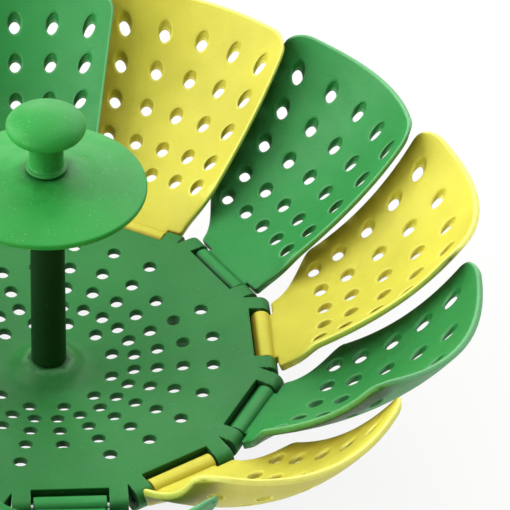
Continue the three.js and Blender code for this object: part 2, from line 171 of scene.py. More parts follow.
# Sides and steps of the meshes
HOLE_SIDES = 28
LATHE_SIDES = 72
WIDE_SIDES = 96
FITTING_SIDES = 48
BORE_SIDES = 32
PIN_SIDES = 24
SMOOTH_ANGLE = math.radians(38)
ROUND_ANGLES = (0, 25, 50, 72, 90)
EDGE_STEPS = 4
EAR_STEPS = 12
CHEEK_STEPS = 10
TROUGH_STEPS = 12
LIP_STEPS = 8
ROOT_CORNER_STEPS = 5
TIP_CORNER_STEPS = 10
LEAF_SIDE_STEPS = 48
LEAF_CROWN_STEPS = 40
SOLE_STEPS = 6
DISC_STEPS = 36
DISC_EDGE_STEPS = 6
COLLAR_STEPS = 6
FILLET_STEPS = 5
BLEND_STEPS = 8
KNOB_STEPS = 32
SCREW_STEPS = 10
SOLVER_STEPS = 5
BOX_FACES = [(0, 2, 3, 1), (4, 5, 7, 6), (0, 1, 5, 4), (2, 6, 7, 3), (0, 4, 6, 2), (1, 3, 7, 5)]

# Limits of the arithmetic
LEAST_LENGTH = 1e-9
LEAST_SQUARE = 1e-12
ON_AXIS = 1e-6
MERGE_DISTANCE = 1e-6
MITRE_LIMIT = 0.5

# Rays that find how closed in a point is, for the painted shade in recesses
RECESS_REACH = 20.0
RECESS_RAYS = 20
RECESS_LIFT = 0.25
GOLDEN_HALF_TURNS = 3 - math.sqrt(5)
STEEP_SHARE = 0.7

# Noise without a range of its own is read between these values.
NOISE_RANGE = (0.35, 0.65)
NOISE_ROUGHNESS = 0.5

# Plastics. Scales are per metre, and a pair holds the ends of a range.
PLASTIC_IOR = 1.48
DRIFT_SCALE, DRIFT_DETAIL = 38.0, 3.0
DRIFT_SHADE = 0.86
# Paler edges: partly rubbed plastic, partly painted highlight
WORN_AND_LIT_GAIN = 1.4
WORN_AND_LIT_LIMIT = 0.95
WORN_AND_LIT_WHITE = 0.12
EDGE_WEAR_AND_HIGHLIGHT = (0.1, 0.2)
RIM_WEAR_AND_HIGHLIGHT = (0.03, 0.08)
RIM_FADE = 0.005
# Painted shade: a darker tone where nearby surfaces close a point in
RECESS_SHADE = 0.25
RECESS_RANGE = (0.12, 0.55)
DUST_SCALE, DUST_DETAIL = 1900.0, 1.0
DUST_RANGE = (0.71, 0.79)
DUST_COLOUR = (0.85, 0.9, 0.85, 1.0)
SHEEN_SCALE, SHEEN_DETAIL = 160.0, 3.0
SHEEN_RANGE = (-0.05, 0.06)
GRAIN_SCALE, GRAIN_DETAIL = 3200.0, 2.0
RIPPLE_SCALE, RIPPLE_DETAIL = 420.0, 3.0
RIPPLE_SHARE = 1.6
PLASTIC_RELIEF = 0.0003
# Petals: strong paler rims beyond the hinge, partly rubbed plastic, partly painted highlight
PETAL_SURFACE = {"wear_and_highlight": 0.9, "rims": 0.074, "grain": 0.3}

# Steel
PATCH_SCALE, PATCH_DETAIL = 500.0, 3.0
DULL_STEEL = (0.5, 0.51, 0.53, 1.0)
CLEAR_STEEL = (0.66, 0.67, 0.68, 1.0)
STEEL_SHEEN_SCALE, STEEL_SHEEN_DETAIL = 1500.0, 2.0
STEEL_ROUGHNESS = (0.22, 0.4)
DRAWN_SCALE, DRAWN_DETAIL = 6000.0, 1.0
DRAWN_STRENGTH = 0.08
STEEL_RELIEF = 0.0002

# Floor, light and camera. A lamp has an azimuth from the camera's right, an elevation and a power.
WHITE = (1.0, 1.0, 1.0, 1.0)
FLOOR_REACH = 4000.0
FLOOR_COLOUR = (0.92, 0.92, 0.92, 1.0)
FLOOR_GLOW_SHARE = 0.85
WORLD_STRENGTH = 0.15
SOFTBOX = (0.7, 0.7)
LAMP_DISTANCE = 1.0
LAMP_TARGET = (0.0, 0.0, 0.05)
LAMPS = (
    ("overhead_softbox", 90, 80, 2.9),
    ("back_softbox", 90, 32, 3.1),
    ("back_right_softbox", 45, 40, 5.0),
    ("left_softbox", 180, 40, 6.6),
    ("low_left_softbox", 165, 15, 4.7),
    ("low_front_left_softbox", 225, 12, 5.9),
)
CAMERA_TURN = math.radians(-11.052)
CAMERA_ELEVATION = math.radians(38.839)
CAMERA_ROLL = math.radians(2.933)
CAMERA_LENS = 184.99
CAMERA_SENSOR = 36.0
CAMERA_CLIP = (0.01, 50.0)
CAMERA_PLACE = (-54.725, -596.842, 545.453)


def smoothstep(start, end, value):
    t = min(max((value - start) / (end - start), 0.0), 1.0)
    return t * t * (3 - 2 * t)


def polar(radius, angle):
    return (radius * math.cos(angle), radius * math.sin(angle))


def quarter_angles(steps):
    return [math.pi / 2 * i / steps for i in range(steps + 1)]


# Meshes

def make_object(name, vertices, faces):
    mesh = bpy.data.meshes.new(name)
    mesh.from_pydata([tuple(c * MM for c in v) for v in vertices], [], faces)
    mesh.validate()
    piece = bpy.data.objects.new(name, mesh)
    bpy.context.scene.collection.objects.link(piece)
    return piece


def smooth(piece):
    """Shades a finished piece smooth between its sharp edges and marks its edges for paling."""
    mesh = piece.data
    work = bmesh.new()
    work.from_mesh(mesh)
    bmesh.ops.recalc_face_normals(work, faces=work.faces)
    work.to_mesh(mesh)
    work.free()
    mesh.shade_smooth()
    mesh.set_sharp_from_angle(angle=SMOOTH_ANGLE)
    mark_edges(mesh)
    return piece


def places_and_normals(mesh):
    count = len(mesh.vertices)
    place, normal = np.empty(count * 3, np.float32), np.empty(count * 3, np.float32)
    mesh.vertices.foreach_get("co", place)
    mesh.vertex_normals.foreach_get("vector", normal)
    return place.reshape(-1, 3), normal.reshape(-1, 3)


def store(mesh, name, values):
    """Keeps one number for each point of a mesh, for the materials to read."""
    attribute = mesh.attributes.new(name, "FLOAT", "POINT")
    attribute.data.foreach_set("value", values.astype(np.float32))


def unit(vectors):
    return vectors / np.maximum(np.linalg.norm(vectors, axis=1), LEAST_LENGTH)[:, None]


def mark_edges(mesh):
    """Stores how far each point stands out from its neighbours, for the paler edges: partly rubbed
    plastic, partly painted highlight.
    """
    place, normal = places_and_normals(mesh)
    count = len(place)
    ends = np.empty(len(mesh.edges) * 2, np.int32)
    mesh.edges.foreach_get("vertices", ends)
    start, end = ends.reshape(-1, 2).T
    step = unit(place[end] - place[start])
    total = np.zeros((count, 3))
    np.add.at(total, start, step)
    np.add.at(total, end, -step)
    links = np.maximum(np.bincount(ends, minlength=count), 1)
    out = -(total * normal).sum(axis=1) / links
    near = np.bincount(start, out[end], count) + np.bincount(end, out[start], count)
    store(mesh, "stand_out", (out + near / links) / 2)


def mark_recesses(pieces, looked_at):
    """Stores how much of each point's view is closed off nearby, for the painted shade in recesses.

    looked_at holds pairs of a piece and the pieces that take the same values.
    """
    points, faces = [], []
    for piece in pieces:
        first = len(points)
        points += [tuple(v.co) for v in piece.data.vertices]
        faces += [[first + i for i in f.vertices] for f in piece.data.polygons]
    tree = BVHTree.FromPolygons(points, faces)
    height = np.sqrt((np.arange(RECESS_RAYS) + 0.5) / RECESS_RAYS)
    turn = np.arange(RECESS_RAYS) * math.pi * GOLDEN_HALF_TURNS
    flat = np.sqrt(1 - height ** 2)
    for piece, others in looked_at:
        place, normal = places_and_normals(piece.data)
        helper = np.where(np.abs(normal[:, :1]) < STEEP_SHARE, [[1.0, 0.0, 0.0]], [[0.0, 1.0, 0.0]])
        side = unit(np.cross(normal, helper))
        along = np.cross(normal, side)
        starts = (place + normal * RECESS_LIFT * MM).tolist()
        hits = np.zeros(len(place))
        for k in range(RECESS_RAYS):
            ways = normal * height[k]
            ways = ways + side * flat[k] * math.cos(turn[k])
            ways = ways + along * flat[k] * math.sin(turn[k])
            for i, way in enumerate(ways.tolist()):
                if tree.ray_cast(starts[i], way, RECESS_REACH * MM)[0] is not None:
                    hits[i] += 1
        for marked in (piece, *others):
            store(marked.data, "closed_in", hits / RECESS_RAYS)


def turned(name, profile, sides=LATHE_SIDES, axis="Z"):
    """A solid of revolution. Its profile of radii and heights closes on the axis or on itself."""
    vertices, faces, rings = [], [], []
    for radius, height in profile:
        first = len(vertices)
        if radius < ON_AXIS:
            vertices.append((0.0, 0.0, height))
            rings.append([first] * sides)
            continue
        for i in range(sides):
            x, y = polar(radius, 2 * math.pi * i / sides)
            vertices.append((x, y, height))
        rings.append(list(range(first, first + sides)))
    if profile[0][0] > ON_AXIS:
        rings.append(rings[0])
    for lower, upper in zip(rings, rings[1:]):
        for i in range(sides):
            j = (i + 1) % sides
            corner = [lower[i], lower[j], upper[j], upper[i]]
            face = [c for k, c in enumerate(corner) if c != corner[k - 1]]
            if len(face) > 2:
                faces.append(face)
    if axis == "Y":
        vertices = [(x, z, -y) for x, y, z in vertices]
    return make_object(name, vertices, faces)


def arc(centre, radius, start, end, steps):
    """Points of a circle's arc in a profile, with angles in degrees."""
    points = []
    for i in range(steps + 1):
        angle = math.radians(start + (end - start) * i / steps)
        points.append((centre[0] + radius * math.cos(angle), centre[1] + radius * math.sin(angle)))
    return points


def combine(piece, others, operation):
    """Joins closed solids to a piece or cuts them out of it, as one skin, and removes them."""
    for other in others:
        modifier = piece.modifiers.new("combine", "BOOLEAN")
        modifier.operation = operation
        modifier.solver = "MANIFOLD"
        modifier.object = other
    bpy.context.view_layer.update()
    graph = bpy.context.evaluated_depsgraph_get()
    mesh = bpy.data.meshes.new_from_object(piece.evaluated_get(graph))
    piece.modifiers.clear()
    old = piece.data
    piece.data = mesh
    bpy.data.meshes.remove(old)
    for other in others:
        bpy.data.objects.remove(other)
    return piece


def unite(piece, others):
    return combine(piece, others, "UNION")


def cut(piece, others):
    return combine(piece, others, "DIFFERENCE")


def signed_area(points):
    total = 0.0
    for (x0, y0), (x1, y1) in zip(points, points[1:] + points[:1]):
        total += x0 * y1 - x1 * y0
    return total / 2


def resample(points, step):
    """A closed line with a point about every step, with its corners kept."""
    made = []
    for (x0, y0), (x1, y1) in zip(points, points[1:] + points[:1]):
        length = math.hypot(x1 - x0, y1 - y0)
        count = max(1, round(length / step))
        made += [(x0 + (x1 - x0) * i / count, y0 + (y1 - y0) * i / count) for i in range(count)]
    return made


def inset(points, distance):
    """A closed counter-clockwise line moved inwards."""
    made = []
    for before, here, after in zip(points[-1:] + points[:-1], points, points[1:] + points[:1]):
        first = Vector((here[0] - before[0], here[1] - before[1])).normalized()
        second = Vector((after[0] - here[0], after[1] - here[1])).normalized()
        normal = Vector((-first.y - second.y, first.x + second.x)).normalized()
        reach = distance / max(normal.dot(Vector((-first.y, first.x))), MITRE_LIMIT)
        made.append((here[0] + normal.x * reach, here[1] + normal.y * reach))
    return made


def rounding(radius, distance):
    """How far a rounded edge lies below the face at a distance from the edge."""
    if distance >= radius:
        return 0.0
    return radius - math.sqrt(max(radius * radius - (radius - distance) ** 2, 0.0))


def inside(points, polygon):
    """Which of an array of points lie inside a closed line."""
    x, y = points[:, 0], points[:, 1]
    found = np.zeros(len(points), bool)
    corners = np.array(polygon)
    following = np.roll(corners, -1, axis=0)
    for (x0, y0), (x1, y1) in zip(corners, following):
        if y0 == y1:
            continue
        crosses = (y0 > y) != (y1 > y)
        found ^= crosses & (x < (x1 - x0) * (y - y0) / (y1 - y0) + x0)
    return found


def line_distance(points, polygon):
    """The distance from each point to a closed line."""
    start = np.array(polygon)
    step = np.roll(start, -1, axis=0) - start
    offset = points[:, None, :] - start[None]
    squared = np.maximum((step * step).sum(1), LEAST_SQUARE)
    share = np.clip((offset * step).sum(2) / squared, 0, 1)
    return np.linalg.norm(offset - share[..., None] * step, axis=2).min(1)


def as_drawn(x, y):
    return (x, y)


def sheet_solid(name, outline, holes, place, grid, edge_round, hole_round, under_round,
                seen=as_drawn, unseen=as_drawn):
    """A closed sheet with holes and rounded edges, from a flat pattern.

    The outline is a closed line. place(x, y, side, drop) puts a point of the pattern on the upper
    face (side 1) or the lower face (side -1), sunk by drop. A hole is (x, y, radius) and is round
    as seen from above: seen(x, y) turns a pattern point into that view, and unseen(x, y) turns it
    back.
    """
    if signed_area(outline) < 0:
        outline = outline[::-1]
    points, edges, drops = [], [], []

    def add_loop(line, upper, lower):
        first = len(points)
        for i, point in enumerate(line):
            points.append(point)
            drops.append((upper, lower))
            edges.append((first + i, first + (i + 1) % len(line)))

    for angle in ROUND_ANGLES:
        away = edge_round * (1 - math.cos(math.radians(angle)))
        line = inset(outline, away) if away else outline
        add_loop(line, rounding(edge_round, away), rounding(under_round, away))
    for x, y, radius in holes:
        for angle in ROUND_ANGLES:
            away = hole_round * (1 - math.cos(math.radians(angle)))
            turn = 2 * math.pi / HOLE_SIDES
            line = [polar(radius + away, i * turn) for i in range(HOLE_SIDES)]
            line = [unseen(x + px, y + py) for px, py in line]
            add_loop(line, rounding(hole_round, away), rounding(under_round, away))

    low, high = np.min(outline, axis=0), np.max(outline, axis=0)
    row_step = grid * math.sqrt(3) / 2
    free = []
    for row in range(int((high[1] - low[1]) / row_step) + 1):
        shift = grid / 2 if row % 2 else 0.0
        for column in range(int((high[0] - low[0]) / grid) + 1):
            free.append((low[0] + shift + column * grid, low[1] + row * row_step))
    free = np.array(free)
    free = free[inside(free, outline)]
    free = free[line_distance(free, outline) > edge_round + CLEARANCE_SHARE * grid]
    above = np.array([seen(x, y) for x, y in free])
    keep = np.ones(len(free), bool)
    for x, y, radius in holes:
        away = np.hypot(above[:, 0] - x, above[:, 1] - y)
        keep &= away > radius + hole_round + CLEARANCE_SHARE * grid / 2
    for x, y in free[keep]:
        points.append((float(x), float(y)))
        drops.append((0.0, 0.0))

    vectors = [Vector(point) for point in points]
    flat, _, triangles, sources, _, _ = delaunay_2d_cdt(vectors, edges, [], 0, MERGE_DISTANCE)
    flat = np.array([tuple(p) for p in flat])
    triangles = np.array([t for t in triangles if len(t) == 3])
    middle = flat[triangles].mean(axis=1)
    keep = inside(middle, outline)
    above = np.array([seen(x, y) for x, y in middle])
    for x, y, radius in holes:
        keep &= np.hypot(above[:, 0] - x, above[:, 1] - y) > radius * math.cos(math.pi / HOLE_SIDES)
    triangles = triangles[keep]

    used = np.unique(triangles)
    number = {int(v): i for i, v in enumerate(used)}
    count = len(used)
    upper, lower = [], []
    for v in used:
        drop = drops[sources[v][0]] if sources[v] else (0.0, 0.0)
        x, y = float(flat[v][0]), float(flat[v][1])
        upper.append(place(x, y, 1, drop[0]))
        lower.append(place(x, y, -1, drop[1]))
    faces, open_edges = [], {}
    for a, b, c in triangles:
        a, b, c = number[int(a)], number[int(b)], number[int(c)]
        faces += [(a, b, c), (c + count, b + count, a + count)]
        for start, end in ((a, b), (b, c), (c, a)):
            if open_edges.pop((end, start), None) is None:
                open_edges[(start, end)] = True
    for start, end in open_edges:
        faces.append((start, start + count, end + count, end))
    return make_object(name, upper + lower, faces)


# Placing on the twelve hinge lines

def hinge_matrix(index):
    angle = index * PITCH - SKEW
    x, y = polar(HINGE_APOTHEM * MM, angle)
    return Matrix.Translation((x, y, HINGE_HEIGHT * MM)) @ Matrix.Rotation(angle, 4, "Z")


def copy_piece(source, name, matrix):
    piece = bpy.data.objects.new(name, source.data.copy())
    piece.data.name = name
    piece.data.transform(matrix)
    bpy.context.scene.collection.objects.link(piece)
    return piece


# Plate

def make_bore(start, end):
    radius = PIN_RADIUS + SEAT_GAP
    profile = [(0, start), (radius, start), (radius, end), (0, end)]
    return turned("bore", profile, BORE_SIDES, "Y")


def dish_height(radius):
    return RIM_HEIGHT - DISH_DEPTH * (1 + math.cos(math.pi * min(radius / PLATE_APOTHEM, 1))) / 2


def dish_top(radius):
    mound = 1 - smoothstep(MOUND_TOP_RADIUS, MOUND_FOOT_RADIUS, radius)
    return dish_height(radius) + MOUND_HEIGHT * mound


def dish_bottom(radius):
    return dish_height(radius) - PLATE_THICKNESS


def leg_angle(index):
    return PITCH + index * 2 * math.pi / LEGS


def plate_holes():
    holes = []
    for i in range(PETALS):
        holes.append((*polar(INNER_RING, PITCH / 4 + i * PITCH), HOLE_RADIUS))
    for radius in OUTER_RINGS:
        for i in range(2 * PETALS):
            angle = i * PITCH / 2
            over_leg = radius == LEG_CIRCLE and any(
                abs(math.remainder(angle - leg_angle(k), 2 * math.pi)) < PITCH / 4
                for k in range(LEGS)
            )
            if not over_leg:
                holes.append((*polar(radius, angle), HOLE_RADIUS))
    return holes


def in_hinge(index, out, along):
    """A place in plan, from a hinge's own out and along."""
    angle = index * PITCH - SKEW
    x, y = polar(HINGE_APOTHEM + out, angle)
    return (x - along * math.sin(angle), y + along * math.cos(angle))


def plate_outline():
    """The twelve sides with their slots, pairs of ears and the notches between them."""
    flat = PLATE_APOTHEM - HINGE_APOTHEM
    ear_end, ear_start = SLOT_COUNTER + EAR_WIDTH, SLOT_CLOCKWISE - EAR_WIDTH
    notch = (ear_end * math.cos(PITCH) - ear_start) / math.sin(PITCH) - HINGE_APOTHEM
    corners = []
    for i in range(PETALS):
        sides = (
            (0, ear_start), (0, SLOT_CLOCKWISE), (flat, SLOT_CLOCKWISE), (flat, SLOT_COUNTER),
            (0, SLOT_COUNTER), (0, ear_end), (notch, ear_end),
        )
        corners += [in_hinge(i, out, along) for out, along in sides]
    return resample(corners, OUTLINE_STEP)


def quarter(radius, height, start_turns, steps):
    """A quarter of an ellipse, clockwise from a number of quarter turns, as out and up."""
    angles = [-(start_turns + i / steps) * math.pi / 2 for i in range(steps + 1)]
    return [(radius * math.cos(a), height * math.sin(a)) for a in angles]


def make_ear(start):
    middle = start + EAR_WIDTH / 2
    reach = EAR_WIDTH / 2 - EAR_INSET
    root = PLATE_APOTHEM - HINGE_APOTHEM - SEAT_GAP
    profile = [(-CHEEK_RADIUS, EAR_TOP - PLATE_THICKNESS / 2), (root, EAR_TOP)]
    profile += quarter(EAR_RADIUS, EAR_TOP, -1, EAR_STEPS)
    profile += quarter(EAR_RADIUS, EAR_RADIUS, 0, EAR_STEPS)[1:]
    profile += [(CHEEK_STEP, -CHEEK_RADIUS)]
    profile += quarter(CHEEK_RADIUS, CHEEK_RADIUS, 1, CHEEK_STEPS)

    def place(x, z, side, drop):
        return (x, middle - side * (reach - drop), z)

    outline = resample(profile, OUTLINE_STEP / 2)
    return sheet_solid("ear", outline, [], place, EAR_WIDTH,
                       EAR_EDGE_ROUND, EAR_EDGE_ROUND, EAR_EDGE_ROUND)


def make_trough():
    outer = TROUGH_RADIUS + TROUGH_WALL
    lip = TROUGH_WALL / 2
    top = EAR_TOP - PLATE_THICKNESS / 2
    profile = [(-TROUGH_RADIUS, top)]
    profile += quarter(TROUGH_RADIUS, TROUGH_RADIUS, 1, TROUGH_STEPS)[::-1][:-1]
    profile += arc((-lip, -TROUGH_RADIUS - lip), lip, 90, -90, LIP_STEPS)
    profile += quarter(outer, outer, 1, TROUGH_STEPS)[1:] + [(-outer, top)]
    ends = (SLOT_CLOCKWISE - OVERLAP, SLOT_COUNTER + OVERLAP)
    vertices = [(x, y, z) for y in ends for x, z in profile]
    count = len(profile)
    faces = [tuple(range(count)), tuple(range(2 * count - 1, count - 1, -1))]
    for i in range(count):
        j = (i + 1) % count
        faces.append((j, i, i + count, j + count))
    return make_object("trough", vertices, faces)


def make_plate():
    def place(x, y, side, drop):
        radius = math.hypot(x, y)
        return (x, y, dish_top(radius) - drop if side > 0 else dish_bottom(radius) + drop)

    holes = plate_holes() + [(0.0, 0.0, MOUNT_HOLE_RADIUS)]
    plate = sheet_solid("plate", plate_outline(), holes, place, PLATE_GRID,
                        EAR_EDGE_ROUND, PLATE_HOLE_ROUND, EAR_EDGE_ROUND)
    added = []
    socket_top = dish_bottom(LEG_CIRCLE)
    socket_end = socket_top - SOCKET_DEPTH
    edge = SOCKET_ROUND
    for i in range(LEGS):
        x, y = polar(LEG_CIRCLE, leg_angle(i))
        socket = turned("socket", [
            (0, socket_top + OVERLAP),
            (LEG_TOP_RADIUS + SOCKET_WALL, socket_top + OVERLAP),
            *arc((LEG_TOP_RADIUS - edge, socket_end + edge), edge, 0, -90, EDGE_STEPS),
            (LEG_SPIGOT_RADIUS + SEAT_GAP, socket_end),
            (LEG_SPIGOT_RADIUS + SEAT_GAP, socket_top),
            (0, socket_top),
        ], FITTING_SIDES)
        socket.data.transform(Matrix.Translation((x * MM, y * MM, 0)))
        added.append(socket)
    fittings = [make_ear(SLOT_CLOCKWISE - EAR_WIDTH), make_ear(SLOT_COUNTER), make_trough()]
    bore = make_bore(SLOT_CLOCKWISE - EAR_WIDTH - SEAT_GAP, SLOT_COUNTER + EAR_WIDTH + SEAT_GAP)
    bores = []
    for i in range(PETALS):
        added += [copy_piece(fitting, "fitting", hinge_matrix(i)) for fitting in fittings]
        bores.append(copy_piece(bore, "bore", hinge_matrix(i)))
    for fitting in fittings + [bore]:
        bpy.data.objects.remove(fitting)
    return smooth(cut(unite(plate, added), bores))


# Petals

def leaf_point(station, across, lift):
    angle = LEAF_RISE + station / LEAF_BOW_RADIUS
    out = LEAF_BOW_RADIUS * (math.sin(angle) - math.sin(LEAF_RISE))
    up = LEAF_BOW_RADIUS * (math.cos(LEAF_RISE) - math.cos(angle)) - LEAF_DROP
    fade = smoothstep(*HOLLOW_FADE, station)
    root_twist, tip_twist = TWIST_SLOPES
    twist = root_twist + (tip_twist - root_twist) * smoothstep(*TWIST_FADE, station)
    rise = lift + fade * (across * across / (2 * LEAF_HOLLOW_RADIUS) + twist * across)
    return (out - rise * math.sin(angle), LEAF_OFFSET + across, up + rise * math.cos(angle))


def half_width(side, station):
    root, shoulder, tip = side
    flare = smoothstep(LEAF_SHOULDER, FLARE_END, station)
    beyond = max(station - FLARE_END, 0.0) / (TIP_STATION - FLARE_END)
    return root + (shoulder - root) * flare + (tip - shoulder) * beyond


def tip_station_at(across):
    reach = (CLOCKWISE_SIDE[2] + COUNTER_SIDE[2]) / 2
    return LEAF_LENGTH - TIP_CROWN * (across / reach) ** 2


def tip_corner(sign):
    edge = sign * (CLOCKWISE_SIDE if sign < 0 else COUNTER_SIDE)[2]
    radius = TIP_CORNER_RADIUS
    inner = edge - sign * radius
    top = tip_station_at(inner)
    return [
        (top - radius + radius * math.sin(t), inner + sign * radius * math.cos(t))
        for t in quarter_angles(TIP_CORNER_STEPS)
    ]


def leaf_outline():
    tongue_left = SLOT_CLOCKWISE + BARREL_END_GAP + TONGUE_INSET - LEAF_OFFSET
    tongue_right = SLOT_COUNTER - BARREL_END_GAP - TONGUE_INSET - LEAF_OFFSET
    corner = ROOT_CORNER_RADIUS
    turns = quarter_angles(ROOT_CORNER_STEPS)
    counter_corner, clockwise_corner = tip_corner(1), tip_corner(-1)
    first, last = LEAF_SHOULDER + corner, counter_corner[0][0]
    length = last - LEAF_SHOULDER - corner
    stations = [first + length * i / LEAF_SIDE_STEPS for i in range(LEAF_SIDE_STEPS)]
    counter = [(s, half_width(COUNTER_SIDE, s)) for s in stations]
    clockwise = [(s, -half_width(CLOCKWISE_SIDE, s)) for s in stations]
    crown_start, crown_end = counter_corner[-1][1], clockwise_corner[-1][1]
    crown = [
        crown_start + (crown_end - crown_start) * i / LEAF_CROWN_STEPS
        for i in range(1, LEAF_CROWN_STEPS)
    ]
    root_counter = COUNTER_SIDE[0] - corner
    root_clockwise = CLOCKWISE_SIDE[0] - corner
    line = [(LEAF_START, tongue_left), (LEAF_START, tongue_right), (LEAF_SHOULDER, tongue_right)]
    line += [
        (first - corner * math.cos(t), root_counter + corner * math.sin(t)) for t in turns[:-1]
    ]
    line += counter + counter_corner
    line += [(tip_station_at(w), w) for w in crown]
    line += clockwise_corner[::-1] + clockwise[::-1]
    line += [
        (first - corner * math.sin(t), -root_clockwise - corner * math.cos(t)) for t in turns[1:]
    ]
    line += [(LEAF_SHOULDER, tongue_left)]
    return resample(line, OUTLINE_STEP)


def leaf_holes():
    holes = []
    for station in HOLE_ROWS:
        for share in HOLE_COLUMNS:
            side = CLOCKWISE_SIDE if share < 0 else COUNTER_SIDE
            across = share * (half_width(side, station) - HOLE_EDGE_MARGIN)
            arch = ROW_ARCH * (across / CLOCKWISE_SIDE[1]) ** 2
            holes.append((*leaf_seen(station - arch, across), HOLE_RADIUS))
    return holes


def leaf_thickness(station):
    root, tip = LEAF_THICKNESS
    return root + (tip - root) * station / LEAF_LENGTH


def leaf_face(station, across, side, drop=0.0):
    return leaf_point(station, across, side * (leaf_thickness(station) / 2 - drop))


def leaf_seen(station, across):
    return (leaf_face(station, across, 1)[0], across)


def station_at(out, across, side, guess):
    """The station at which a face of the leaf lies a distance out from the hinge line."""
    station = guess
    for _ in range(SOLVER_STEPS):
        slope = math.cos(LEAF_RISE + station / LEAF_BOW_RADIUS)
        station += (out - leaf_face(station, across, side)[0]) / slope
    return station


def leaf_unseen(out, across):
    return (station_at(out, across, 1, out), across)


def under_station(station, across):
    """The station straight below a point of the upper face, or the same one at the border."""
    side = CLOCKWISE_SIDE if across < 0 else COUNTER_SIDE
    border = min(
        half_width(side, station) - abs(across),
        tip_station_at(across) - station,
        station - LEAF_SHOULDER,
    )
    below = station_at(leaf_face(station, across, 1)[0], across, -1, station)
    return station + (below - station) * smoothstep(0.0, HOLE_EDGE_MARGIN - HOLE_RADIUS, border)


def make_petal():
    def place(station, across, side, drop):
        flare = smoothstep(LEAF_SHOULDER, FLARE_END, station)
        drop *= ROOT_ROUND_SHARE + (1 - ROOT_ROUND_SHARE) * flare
        if side < 0:
            station = under_station(station, across)
        return leaf_face(station, across, side, drop)

    leaf = sheet_solid("petal", leaf_outline(), leaf_holes(), place, LEAF_GRID,
                       LEAF_EDGE_ROUND, LEAF_HOLE_ROUND, UNDERSIDE_ROUND, leaf_seen, leaf_unseen)
    start, end = SLOT_CLOCKWISE + BARREL_END_GAP, SLOT_COUNTER - BARREL_END_GAP
    edge = BARREL_END_ROUND
    barrel = turned("barrel", [
        (0, start),
        *arc((BARREL_RADIUS - edge, start + edge), edge, -90, 0, EDGE_STEPS),
        *arc((BARREL_RADIUS - edge, end - edge), edge, 0, 90, EDGE_STEPS),
        (0, end),
    ], FITTING_SIDES, "Y")
    return cut(unite(leaf, [barrel]), [make_bore(start - OVERLAP, end + OVERLAP)])


def make_pin():
    start = SLOT_CLOCKWISE - EAR_WIDTH + PIN_INSET
    end = SLOT_COUNTER + EAR_WIDTH - PIN_INSET
    edge = PIN_CHAMFER
    return turned("pin", [
        (0, start),
        (PIN_RADIUS - edge, start),
        (PIN_RADIUS, start + edge),
        (PIN_RADIUS, end - edge),
        (PIN_RADIUS - edge, end),
        (0, end),
    ], PIN_SIDES, "Y")


# Round pieces, with the heights at which they meet

POST_BASE = dish_top(0) + SEAT_GAP
POST_TOP = DISC_RIM_HEIGHT + DISC_DOME - DISC_THICKNESS - SEAT_GAP
SPIGOT_END = dish_bottom(0)


def make_foot():
    top = dish_bottom(LEG_CIRCLE) - SOCKET_DEPTH - SEAT_GAP
    spigot_top = dish_bottom(LEG_CIRCLE) - SEAT_GAP
    edge = SOLE_ROUND
    sole = LEG_FOOT_RADIUS - 2 * edge
    return turned("foot", [
        (0, SOLE_HOLLOW),
        (sole, SOLE_HOLLOW),
        (sole + SOLE_SLOPE, 0),
        *arc((LEG_FOOT_RADIUS - edge, edge), edge, -90, 0, SOLE_STEPS),
        (LEG_TOP_RADIUS - LEG_TOP_TAPER, top - LEG_TOP_CHAMFER),
        (LEG_TOP_RADIUS - LEG_TOP_CHAMFER, top),
        (LEG_SPIGOT_RADIUS, top),
        (LEG_SPIGOT_RADIUS, spigot_top),
        (0, spigot_top),
    ], FITTING_SIDES)


def make_post():
    edge = POST_CHAMFER
    return turned("post", [
        (SCREW_SHANK_RADIUS + SEAT_GAP, SPIGOT_END),
        (SPIGOT_RADIUS, SPIGOT_END),
        (SPIGOT_RADIUS, POST_BASE),
        (POST_BASE_RADIUS - edge, POST_BASE),
        (POST_BASE_RADIUS, POST_BASE + edge),
        (POST_BASE_RADIUS - POST_TAPER, POST_BASE + POST_BAND),
        (POST_TOP_RADIUS, POST_TOP - edge),
        (POST_TOP_RADIUS - edge, POST_TOP),
        (STEM_RADIUS + SEAT_GAP, POST_TOP),
        (STEM_RADIUS + SEAT_GAP, POST_TOP - STEM_REACH - SEAT_GAP),
        (0, POST_TOP - STEM_REACH - SEAT_GAP),
        (0, SPIGOT_END + SCREW_GRIP + SEAT_GAP),
        (SCREW_SHANK_RADIUS + SEAT_GAP, SPIGOT_END + SCREW_GRIP + SEAT_GAP),
    ])


def disc_top(radius):
    return DISC_RIM_HEIGHT + DISC_DOME * (1 - (radius / DISC_RADIUS) ** 2)


def disc_face(radius):
    """The disc's upper face, with a low boss that carries the knob."""
    boss = 1 - smoothstep(BOSS_TOP_RADIUS, BOSS_FOOT_RADIUS, radius)
    return disc_top(radius) + BOSS_HEIGHT * boss


def make_disc():
    inner = STEM_RADIUS + SEAT_GAP
    edge = DISC_EDGE_ROUND
    lip = DISC_RADIUS - edge
    radii = [inner + (lip - inner) * i / DISC_STEPS for i in range(DISC_STEPS + 1)]
    profile = [(r, disc_top(r) - DISC_THICKNESS) for r in radii]
    slope = math.degrees(math.atan(2 * DISC_DOME * lip / DISC_RADIUS ** 2))
    low = disc_top(lip) - DISC_THICKNESS + edge
    profile += arc((lip, low), edge, -90 - slope, 0, DISC_EDGE_STEPS)[1:]
    profile += arc((lip, disc_top(lip) - edge), edge, 0, 90 - slope, DISC_EDGE_STEPS)[:-1]
    profile += [(r, disc_face(r)) for r in reversed(radii)]
    return turned("disc", profile, WIDE_SIDES)


